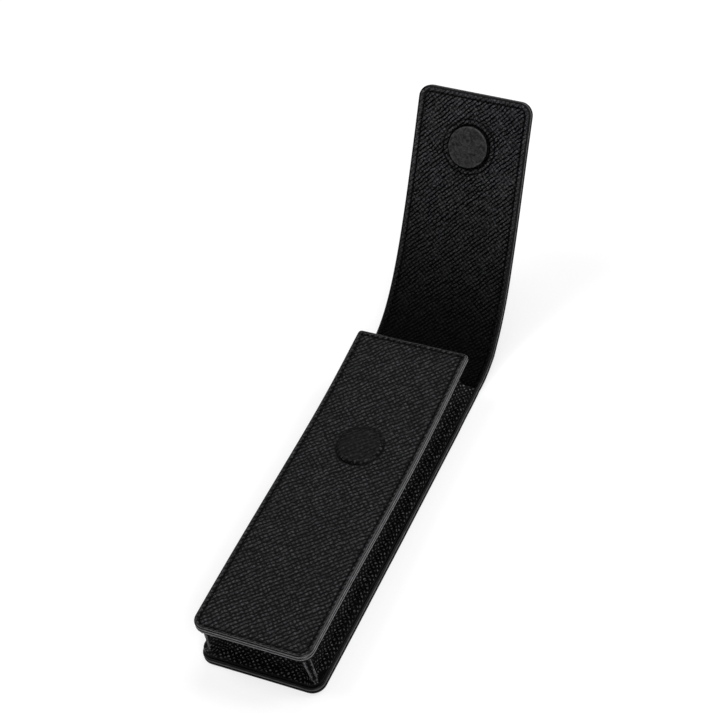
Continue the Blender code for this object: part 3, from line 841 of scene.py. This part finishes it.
def build_front(skins):
    """The front panel: leather with its boss, lining, painted edge and board, and the magnet in the boss."""
    panel = front_panel(front_rows, front_columns)
    plain = front_panel(plain_front_rows, plain_front_columns)
    front = slab("front_leather", panel, upper_sheet, front_place, skins["front"], front_relief(panel),
                 snap=boss_snap, seam_inset=front_seam_inset)
    lining = slab("front_lining_leather", plain, lower_sheet, front_place, skins["lining"])
    paint = band("front_edge_paint", plain, paint_section(), front_place, skins["paint"])
    board = slab("front_stiffener", plain, board_sheet, front_place, skins["board"])
    place = Vector(front_place(boss_x, boss_s, panel_thickness - skin_thickness + magnet_lift))
    magnet = turned("front_snap_magnet", magnet_profile, Matrix.Translation(place), skins["magnet"], 48)
    hand_over(front, ["front_outer_leather"])
    hand_over(lining, ["front_lining"])
    hand_over(paint)
    hand_over(board, ["front_board"])
    hand_over(magnet, ["front_magnet"])


def bend_wrinkles(x, s):
    """Low wrinkles across the lining where the flap bends up, deeper towards its edges."""
    h = 0.0
    for k, place in enumerate(wrinkle_places):
        wave = np.array([noise.noise(Vector((v * wrinkle_waves_per_metre, k * 3.7, 0.5))) for v in x[0]])
        line = place * MM + wrinkle_wander * wave
        deep = wrinkle_middle + wrinkle_edge * np.abs(x / back_half_width) ** 2
        deep = np.clip(deep + wrinkle_uneven * np.roll(wave, 7), 0, wrinkle_most)
        h = h - wrinkle_depth * deep * bell(s - line, wrinkle_width)
    return h


def strip_relief(panel, seam_inset, inner=False, disc=False):
    """Height of one face of the strip over its flat: seam, wrinkles if it is inside, and the disc's bed."""
    def relief(x, s):
        h = seam_groove(edge_distance(panel, x, s) - seam_inset)
        if inner:
            h = h + bend_wrinkles(x, s)
        if disc:
            r = np.hypot(x, s - disc_s)
            skirt = smooth_step(disc_hole_radius - disc_skirt_in, disc_hole_radius + disc_skirt_out, r)
            h = h - disc_press_depth * bell(r - disc_press_radius, disc_press_width)
            h = h - disc_skirt * (1 - skirt)
        return h
    return relief


def build_strip(skins):
    """Back and flap: outer leather, lining, edge paint and board, in two lengths that meet on the bridge."""
    lengths = (
        ("back", back_length, "end", back_seam_inset, BACK_BODIES,
         (("back_outer_leather", "bridge_outer_leather"), ("back_lining", "bridge_lining"), (),
          ("back_board", "bridge_interlining"))),
        ("flap", flap_leaf, "start", strip_seam_inset, FLAP_BODIES,
         (("flap_outer_leather",), ("flap_lining",), (), ("flap_board",))),
    )
    slots = ("grained_leather", "lining_leather", "grained_leather", "fibre_board")
    for name, length, open_at, under_inset, bodies, nodes in lengths:
        panel = length(strip_rows, strip_columns)
        plain = length(plain_strip_rows, plain_strip_columns)
        under = strip_relief(panel, under_inset)
        over = strip_relief(panel, strip_seam_inset, inner=True, disc=(name == "flap"))
        made = (
            slab(f"{name}_leather", panel, lower_sheet, strip_place, skins["outer"],
                 bottom_relief=lambda x, s: -under(x, s), seam_inset=under_inset),
            slab(f"{name}_lining_leather", panel, upper_sheet, strip_place, skins["lining"], top_relief=over,
                 seam_inset=strip_seam_inset),
            band(f"{name}_edge_paint", plain, paint_section(), strip_place, skins["strip_paint"], open_at),
            slab(f"{name}_stiffener", plain, board_sheet, strip_place, skins["board"]),
        )
        for piece, slot, replaced in zip(made, slots, nodes):
            hand_over(piece, replaced, bodies)


def walked_along(path):
    """Distance walked along a path to each of its points."""
    return summed(np.hypot(*np.diff(path, axis=0).T))


def on_path(path, walked, at):
    """Places (x, s) at distances walked along a path."""
    return np.stack([np.interp(at, walked, column) for column in path.T], -1)


def seam_path(panel, inset, open_at, trim=0.0):
    """Places (x, s) along a seam that follows a panel's edge, trimmed at both ends."""
    path = np.stack(panel.edge(inset, panel.loop(open_at)), -1)
    walked = walked_along(path)
    return on_path(path, walked, np.linspace(trim, walked[-1] - trim, 400))


def straight(start, end, count=60):
    """Places (x, s) along a straight seam."""
    return np.stack([np.linspace(a, b, count) for a, b in zip(start, end)], -1)


def stitch_shape():
    """One stitch along X: rings of points that taper and dip at both ends, into the needle holes."""
    rings = []
    for share in (-1.0, -0.86, -0.6, -0.25, 0.0, 0.25, 0.6, 0.86, 1.0):
        fat = thread_radius * max(0.3, (1 - abs(share) ** 5) ** 0.5)
        dip = -stitch_dip * abs(share) ** 2.5
        rings.append([(share * stitch_length / 2, fat * math.cos(a), dip + fat * math.sin(a))
                      for a in np.arange(8) * math.pi / 4])
    return np.array(rings)


def stitches(name, paths, place, height, up, material):
    """A row of separate stitches along each path, lying at a height and facing up (1) or down (-1)."""
    shape = stitch_shape()
    local = shape.reshape(-1, 3)
    one_stitch = capped_faces(np.arange(len(local)).reshape(shape.shape[:2]))
    points, maps, faces = [], [], []
    for path in paths:
        walked = walked_along(path)
        number = max(1, int(round(walked[-1] / stitch_pitch)))
        for centre in (np.arange(number) + 0.5) / number * walked[-1]:
            px, ps = on_path(path, walked, np.clip(centre + local[:, 0], 0, walked[-1])).T
            way = on_path(path, walked, centre + stitch_reach) - on_path(path, walked, centre - stitch_reach)
            way = way / max(1e-9, np.hypot(*way))
            side = local[:, 1] + stitch_slant * local[:, 0]
            x, s = px - way[1] * side * up, ps + way[0] * side * up
            faces += [[len(points) * len(local) + v for v in face] for face in one_stitch]
            points.append(place(x, s, height + up * local[:, 2]))
            maps.append(np.stack([local[:, 0] + centre, local[:, 1]], -1))
    return make_piece(name, np.concatenate(points), faces, np.concatenate(maps), [material], smooth_angle=60)


def build_seams(skins):
    """The rows of stitches, in the grooves of the leathers and on the gusset's flange."""
    front = front_panel(seam_rows, seam_columns)
    trim = mouth_seam_inset + front_seam_gap
    reach, mouth = front_half_width - front_seam_inset - mouth_seam_gap, front_length - mouth_seam_inset
    side, skip, far = back_half_width - back_seam_inset, flange_seam_start, front_length - skive_length
    flange = [straight((end * side, skip), (end * side, far)) for end in (-1, 1)]
    flange.append(straight((skip - side, back_seam_inset), (side - skip, back_seam_inset)))
    half = back_half_width - strip_seam_inset
    bridge = [straight((end * half, bridge_seam_start), (end * half, strip_cut)) for end in (-1, 1)]
    back_path = seam_path(back_length(seam_rows, seam_columns), back_seam_inset, "end")
    flap_path = seam_path(flap_leaf(seam_rows, seam_columns), strip_seam_inset, "start")

    on_face = panel_thickness - groove_depth + thread_on_leather
    on_flange = panel_thickness + gusset_gap + gusset_thickness + thread_on_gusset
    under = groove_depth - thread_on_leather
    seams = (
        ("front_stitches", [seam_path(front, front_seam_inset, "end", trim)], front_place, on_face, 1,
         ["front_seam"], ["case"]),
        ("mouth_stitches", [straight((-reach, mouth), (reach, mouth), 50)], front_place, on_face, 1,
         ["mouth_seam"], ["case"]),
        ("gusset_stitches", flange, strip_place, on_flange, 1,
         ["back_seam_left", "back_seam_bottom", "back_seam_right"], ["case"]),
        ("back_stitches", [back_path], strip_place, under, -1,
         ["back_seam_outer", "bridge_seam_outer_left", "bridge_seam_outer_right"], BACK_BODIES),
        ("bridge_stitches", bridge, strip_place, on_face, 1,
         ["bridge_seam_inner_left", "bridge_seam_inner_right"], BACK_BODIES),
        ("flap_outer_stitches", [flap_path], strip_place, under, -1, ["flap_seam_outer"], FLAP_BODIES),
        ("flap_inner_stitches", [flap_path], strip_place, on_face, 1, ["flap_seam_inner"], FLAP_BODIES),
    )
    for name, paths, place, height, up, nodes, bodies in seams:
        hand_over(stitches(name, paths, place, height, up, skins["thread"]), nodes, bodies)


def turned(name, profile, centre, material, segments=96):
    """A turned piece about its own axis, from (radius, height) down its outer side."""
    turns = [2 * math.pi * k / segments for k in range(segments)]
    points = np.array([(radius * math.cos(a), radius * math.sin(a), height) for radius, height in profile
                       for a in turns])
    world = np.array([centre @ Vector(p) for p in points])
    return make_piece(name, world, capped_faces(np.arange(len(points)).reshape(-1, segments)), points[:, :2],
                      [material])


def build_disc(skins):
    """The snap's disc on the flap: smooth leather drawn over a magnet, with a rounded rim."""
    origin = Vector(strip_place(0.0, disc_s, 0.0))
    centre = Matrix.Translation(origin) @ Matrix.Rotation(bend_angle(disc_s - bend_start), 4, "X")
    top = panel_thickness + disc_rise
    flat = disc_radius - disc_round
    profile = [(radius, top - disc_dish * (radius / flat) ** 4) for radius in np.linspace(0.06, 1, 12) * flat]
    for turn in np.linspace(0.2, 1, 6) * math.pi / 2:
        fall = disc_round * (1 - math.cos(turn))
        profile.append((flat + disc_round * math.sin(turn), top - disc_dish - fall))
    profile.append((disc_radius - disc_undercut, panel_thickness - disc_sunk))
    disc = turned("snap_disc_leather", profile, centre, skins["smooth"])
    hand_over(disc, ["flap_disc_cover"], ["flap_leaf"])


def chaikin(points, rounds=3):
    """Cuts the corners of a line of points again and again, which rounds its folds."""
    points = np.asarray(points, float)
    for _ in range(rounds):
        a, b = points[:-1], points[1:]
        cut = np.stack([0.75 * a + 0.25 * b, 0.25 * a + 0.75 * b], 1).reshape(-1, points.shape[1])
        points = np.concatenate([points[:1], cut, points[-1:]])
    return points


def gusset_line(low_flange, high_flange, deep):
    """Section of the gusset as (inset, height): lower flange, wall drawn in, and upper flange."""
    low = panel_thickness + gusset_gap + gusset_thickness / 2
    high = front_floor - gusset_gap - gusset_thickness / 2
    middle = (low + high) / 2
    turn = gusset_turn
    low_rim, high_rim = min(lower_rim, low_flange / 2), min(upper_rim, high_flange / 2)
    return chaikin([
        (low_rim, low), ((low_rim + low_flange) / 2, low), (low_flange, low),
        (min(deep, low_flange + turn), low + turn),
        ((low_flange + turn + deep) / 2, (low + turn + middle) / 2),
        (deep, middle - wall_fold), (deep, middle + wall_fold),
        ((high_flange + turn + deep) / 2, (high - turn + middle) / 2),
        (min(deep, high_flange + turn), high - turn),
        (high_flange, high), ((high_rim + high_flange) / 2, high), (high_rim, high),
    ])


def gusset_half():
    """Middle surface of half the gusset, from the bottom's middle to the mouth, its thickness and details.

    Each corner is pinched out into an upright leaf between two creases, beside which the walls dive in.
    The details are the distance out from the nearer crease, in millimetres, and the height as a share of
    the gusset's.
    """
    end = front_length - gusset_mouth_inset
    quarter = corner_radius * math.pi / 4
    run, length = front_half_width - corner_radius, end - corner_radius
    near = places_along((0, 3, 0.15), (3, 9, 0.3))
    bottom = np.linspace(corner_rows, quarter + run, 9)
    side = np.linspace(corner_rows, quarter + length, 76)
    away = np.concatenate([-bottom[::-1], -near[:0:-1], near, side])[:, None]

    drawn = gusset_line(flange_width, flange_width, wall_draw_in)[None]
    pinched = gusset_line(corner_flange_low, corner_flange_high, corner_wall_inset)[None]
    rise = front_floor - panel_thickness
    mix = (drawn[..., 1] - panel_thickness) / rise
    leaf = np.interp(mix, leaf_heights, leaf_half_widths)
    out = np.abs(away) - leaf
    pull = (1 - np.clip(out / pinch_fall, 0, 1)) ** 2
    inset = drawn[..., 0] + (pinched[..., 0] - drawn[..., 0]) * pull
    height = drawn[..., 1] + (pinched[..., 1] - drawn[..., 1]) * pull
    free = smooth_step(0.1, 0.3, mix) * (1 - smooth_step(0.88, 1, mix))
    crease = pinch_crease * bell(out, pinch_crease_width)
    dish = pinch_dish * np.clip(1 - (away / leaf) ** 2, 0, 1)
    inset = inset + (dish - crease) * free

    mix = (height - panel_thickness) / rise
    radius = np.maximum(corner_radius - inset, least_radius)
    share = np.clip((away - quarter) / length, 0, 1)
    centre_s = inset + radius
    turn = np.clip((away + quarter) / (2 * quarter), 0, 1) * math.pi / 2
    s = centre_s - radius * np.cos(turn) + (end - centre_s) * share
    width = back_half_width + (front_panel_half_width(s) - back_half_width) * mix
    centre_x = width - inset - radius
    to_middle = np.clip(1 + (away + quarter) / run, 0, 1)
    x = centre_x * to_middle + radius * np.sin(turn)

    skived = 1 - smooth_step(0, skive_length, end - s)
    thickness = gusset_thickness * (1 - (1 - skive_share) * skived)
    settle = (gusset_gap - gusset_mouth_gap + (gusset_thickness - thickness) / 2) * skived
    z = height - settle * (1 - smooth_step(0.1, 0.35, mix)) + settle * smooth_step(0.65, 0.9, mix)
    z = panel_thickness + (z - panel_thickness) * (1 - sag(s) / rise)
    return np.stack([x, s + bottom_y, z], -1), thickness, np.stack([out / MM, mix], -1)


def build_gusset(skins):
    """The folded gusset round both sides and the bottom."""
    half, thin, folds = gusset_half()
    grid = np.concatenate([half[:0:-1] * (-1, 1, 1), half])
    thickness = np.concatenate([thin[:0:-1], thin])
    folds = np.concatenate([folds[:0:-1], folds]).reshape(-1, 2)
    facing = np.cross(np.gradient(grid, axis=0), np.gradient(grid, axis=1))
    facing /= np.linalg.norm(facing, axis=-1, keepdims=True)
    for _ in range(facing_rounds):
        facing[1:-1] = (facing[:-2] + 2 * facing[1:-1] + facing[2:]) / 4
    facing /= np.linalg.norm(facing, axis=-1, keepdims=True)
    section = gusset_line(flange_width, flange_width, wall_draw_in)
    wave = np.array([noise.noise(Vector(p) * wall_waves_per_metre) for p in grid.reshape(-1, 3)])
    drawn_in = smooth_step(0.3, 1.0, section[:, 0] / section[:, 0].max())
    grid = grid + facing * (wave.reshape(grid.shape[:2]) * drawn_in * wall_wave)[..., None]
    half_leather = facing * thickness[..., None] / 2
    rows, cols = grid.shape[:2]
    along = np.cumsum(np.linalg.norm(np.diff(grid, axis=0, prepend=grid[:1]), axis=2), axis=0)
    across = np.cumsum(np.linalg.norm(np.diff(grid, axis=1, prepend=grid[:, :1]), axis=2), axis=1)
    maps = np.stack([along - along[rows // 2], across - across[:, cols // 2, None]], -1).reshape(-1, 2)

    over = np.arange(rows * cols).reshape(rows, cols)
    under = over + rows * cols
    quads = np.stack([over[:-1, :-1], over[1:, :-1], over[1:, 1:], over[:-1, 1:]], -1).reshape(-1, 4)
    faces = quads.tolist() + (quads[:, ::-1] + rows * cols).tolist()
    rim = [(r, 0) for r in range(rows)] + [(rows - 1, c) for c in range(1, cols)]
    rim += [(r, cols - 1) for r in range(rows - 2, -1, -1)] + [(0, c) for c in range(cols - 2, 0, -1)]
    for a, b in zip(rim, rim[1:] + rim[:1]):
        faces.append([int(v) for v in (over[b], over[a], under[a], under[b])])
    cut_edge = np.zeros(len(faces), np.int32)
    cut_edge[-len(rim):] = 1
    points = np.concatenate([(grid + half_leather).reshape(-1, 3), (grid - half_leather).reshape(-1, 3)])
    piece = make_piece("gusset_leather", points, faces, np.concatenate([maps, maps]),
                       [skins["gusset"], skins["dye"]], smooth_angle=60, face_materials=cut_edge,
                       details=np.concatenate([folds, folds]))
    hand_over(piece, ["gusset"])


def dress_hidden_magnet(skins):
    """The flap's magnet stays as model.glb has it, inside its disc, with its plating."""
    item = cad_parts["flap_magnet"]
    if not item.material_slots:
        item.data.materials.append(skins["magnet"])
    for entry in item.material_slots:
        entry.material = skins["magnet"]


def add_to_scene(name, data):
    made = bpy.data.objects.new(name, data)
    bpy.context.scene.collection.objects.link(made)
    return made


def build_studio():
    """Pale floor, a soft dome and softboxes, and the camera at the photograph's angle."""
    mesh = bpy.data.meshes.new("studio_floor")
    corners = ((-1, -1), (1, -1), (1, 1), (-1, 1))
    mesh.from_pydata([(x * floor_half_width, y * floor_half_width, 0) for x, y in corners], [], [(0, 1, 2, 3)])
    floor = add_to_scene("studio_floor", mesh)
    floor.location.z = -floor_drop
    # Matt white paper. It glows to the camera alone, so the background is white and keeps the shadow.
    material, tree = new_material("matt_white_paper")
    seen = node(tree, "LightPath").outputs["Is Camera Ray"]
    lift = node(tree, "Math", TIMES, _0=seen, _1=floor_glow)
    paper = node(tree, "Mix", TONES, _0=seen, _6=srgb("#e6e6e6"), _7=srgb("#9c9c9c"))
    diffuse = node(tree, "BsdfDiffuse", Color=paper.outputs[2])
    glow = node(tree, "Emission", Color=srgb("#ffffff"), Strength=lift)
    mesh.materials.append(finish(material, node(tree, "AddShader", _0=diffuse, _1=glow)))

    world = bpy.data.worlds.new("soft_dome")
    bpy.context.scene.world = world
    world.use_nodes = True
    world.node_tree.nodes["Background"].inputs["Color"].default_value = srgb("#ffffff")
    world.node_tree.nodes["Background"].inputs["Strength"].default_value = dome_strength

    for name, place, power in softboxes:
        light = bpy.data.lights.new(name, "AREA")
        light.shape = "SQUARE"
        light.size = softbox_size
        light.energy = power
        lamp = add_to_scene(name, light)
        lamp.location = place
        lamp.rotation_euler = (-Vector(place)).to_track_quat("-Z", "Y").to_euler()

    yaw, pitch, roll = (math.radians(a) for a in camera_turns)
    forward = Vector((math.sin(yaw) * math.cos(pitch), math.cos(yaw) * math.cos(pitch), -math.sin(pitch)))
    level = Vector((math.cos(yaw), -math.sin(yaw), 0.0))
    fall = forward.cross(level)
    right = math.cos(roll) * level + math.sin(roll) * fall
    down = -math.sin(roll) * level + math.cos(roll) * fall
    camera_data = bpy.data.cameras.new("camera")
    camera_data.sensor_width = camera_sensor
    camera_data.lens = camera_lens
    camera = add_to_scene("camera", camera_data)
    turn = Matrix((right, -down, -forward)).transposed().to_4x4()
    camera.matrix_world = Matrix.Translation(camera_place) @ turn
    bpy.context.scene.camera = camera
    bpy.context.scene.view_settings.view_transform = "Standard"


def build():
    """The case's leathers and other materials, its pieces, and the studio. Rings are in millimetres."""
    boss_place = (boss_x / MM, boss_s / MM)
    boss_size, disc_size = boss_radius / MM, disc_radius / MM
    # Rings of painted light: painted shade in the boss's crease, darkest on its lower side, and a painted
    # highlight inside the boss's rim; painted shade round the disc's base and in the pressed ring beyond it.
    crease = (*boss_place, boss_size + 0.12, 0.55, 1.0, True)
    rim = (*boss_place, boss_size - 0.6, 0.5, -1.6, True)
    bed = (0.0, disc_s / MM, disc_size + 0.3, 0.7, 0.85, False)
    pressed_ring_shade = (0.0, disc_s / MM, disc_press_radius / MM, 0.5, 0.75, False)
    skins = {
        "front": leather("cross_grain_calf", "#2d2d2f", shares=(1.0, 0.43), slope=(-0.85, 0.15), least=0.37,
                         pressed=(*boss_place, boss_size), rings=(crease, rim)),
        "outer": leather("cross_grain_calf_back", "#313133", least=0.25),
        # The lining's tone is set lighter than the front's, a painted light that makes up for the dimmer light
        # on the flap's inner face; over its bend it is painted darker, a painted shade up from the mouth.
        "lining": leather("cross_grain_lining", "#3b3b3d", shares=(0.9, 0.45), slope=(-0.85, 0.2), least=0.16,
                          level=0.02, pitch=1.2, rings=(bed, pressed_ring_shade), painted_bend_shade=(132, 212)),
        # The gusset's tone is set lighter than the front's, a painted light that makes up for the dimmer light
        # in its recess; its folded edges paint a highlight on the leaf's creases and shade in the leaf between
        # them.
        "gusset": leather("soft_gusset_calf", "#4b4b4d", shares=(1.0, 0.9), slope=(-0.6, 0.6), least=0.43,
                          pitch=1.3, roughness=0.36, wrinkle=0.4, edge="folded"),
        "smooth": smooth_leather(),
        "paint": edge_paint("edge_paint", "#606062", 0.24, 0.2),
        # A darker copy of the edge paint for the back, a painted shade near the floor, with only a tenth of
        # the bead highlight on its lower bead.
        "strip_paint": edge_paint("edge_paint_back_shaded", "#4c4c4e", 0.4, 0.08, lower=0.1),
        "dye": edge_paint("dyed_cut_edge", "#030303", 0.7, 0.06),
        "thread": thread(),
        "board": fibre_board(),
        "magnet": magnet_plate(),
    }
    build_front(skins)
    build_strip(skins)
    build_gusset(skins)
    build_disc(skins)
    build_seams(skins)
    dress_hidden_magnet(skins)
    build_studio()


build()
